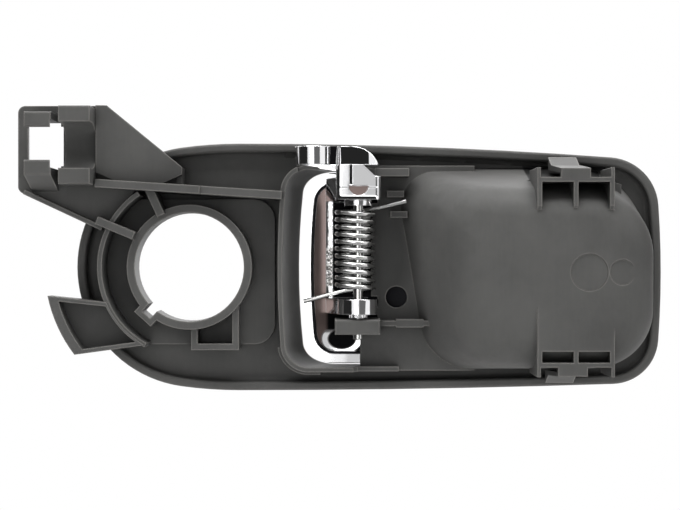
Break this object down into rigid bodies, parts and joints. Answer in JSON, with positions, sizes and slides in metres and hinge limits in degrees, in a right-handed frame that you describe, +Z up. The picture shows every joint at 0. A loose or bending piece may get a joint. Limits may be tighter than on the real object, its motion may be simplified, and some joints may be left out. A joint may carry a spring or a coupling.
{
  "type": "car interior door handle",
  "caption": "Interior door handle: moulded bezel with a round switch hole, finger pocket, cable bracket and snap clips, and a sprung pull lever on a vertical pin.",
  "frame": {"origin": "on the axis of the round switch hole, in the plane where the rim seats on the door trim", "axes": "+X along the bezel from the switch hole to the finger pocket, +Y out of the door into the cabin, +Z up"},
  "size_m": [0.1979, 0.0387, 0.0875],
  "materials": {
    "dark_plastic": "fine moulded satin grain, dark grey",
    "lever_chrome": "bright chrome plating",
    "pin_steel": "ground bright steel",
    "spring_steel": "drawn zinc-plated wire"
  },
  "bodies": {
    "housing": {"bezel_housing": "dark_plastic", "pivot_pin": "pin_steel", "return_spring": "spring_steel"},
    "lever": {"pull_lever": "lever_chrome"}
  },
  "joints": [
    {"name": "lever_pull", "type": "hinge", "parent": "housing", "child": "lever", "pos_m": [0.0515, -0.008, 0], "axis": [0, 0, 1], "range_deg": [0, 40], "stiffness_Nm_per_rad": 0.2, "springref_deg": -34.38, "deforming": ["return_spring"]}
  ]
}
